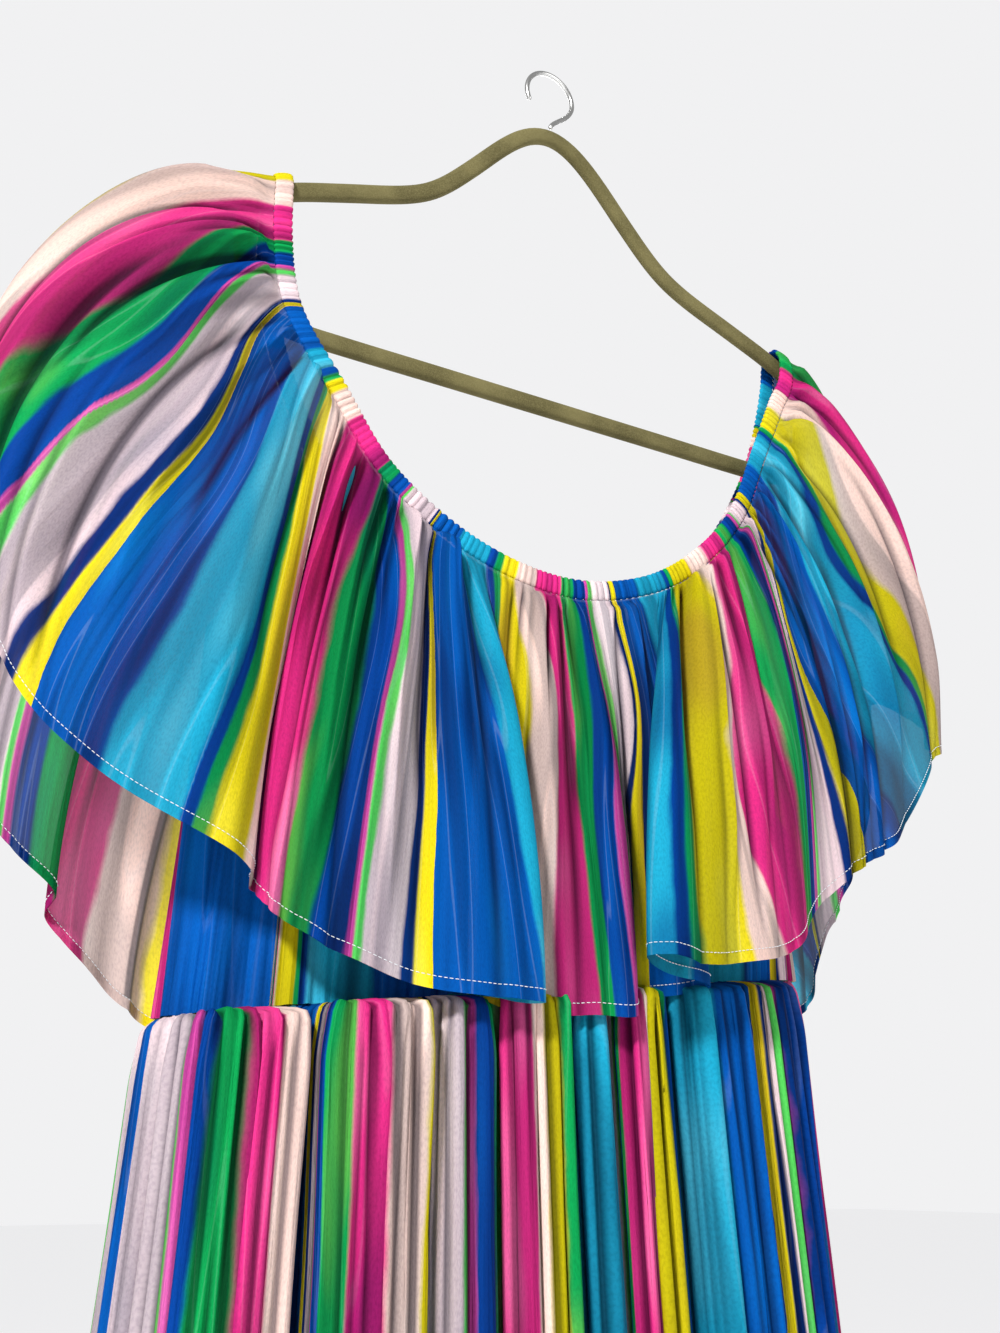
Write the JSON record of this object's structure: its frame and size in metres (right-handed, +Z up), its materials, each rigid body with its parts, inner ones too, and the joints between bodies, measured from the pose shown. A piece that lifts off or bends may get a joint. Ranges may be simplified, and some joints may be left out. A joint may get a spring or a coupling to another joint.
{
  "type": "off-shoulder midi dress on a hanger",
  "caption": "Striped chiffon off-shoulder midi dress with a deep gathered neckline flounce, gathered bodice and full skirt, hanging on a slim flocked hanger.",
  "frame": {"origin": "where the top of the hanger's hook bears on its rail", "axes": "+Z up, -Y the way the dress faces, +X towards the dress's right as seen from its front"},
  "size_m": [0.6682, 0.2775, 1.4397],
  "materials": {
    "hanger_flock": "flocked olive brown",
    "hook_wire": "bright",
    "casing_chiffon": "gathered chiffon over elastic",
    "flounce_chiffon": "sheer striped chiffon",
    "bodice_chiffon": "striped chiffon",
    "skirt_chiffon": "striped chiffon"
  },
  "bodies": {
    "root": {"hanger_frame": "hanger_flock", "hanger_hook": "hook_wire", "neckline_casing_front": "casing_chiffon", "neckline_casing_back": "casing_chiffon", "flounce_front": "flounce_chiffon", "flounce_back": "flounce_chiffon", "bodice_front": "bodice_chiffon", "bodice_back": "bodice_chiffon", "skirt_front": "skirt_chiffon", "skirt_back": "skirt_chiffon"}
  },
  "joints": []
}
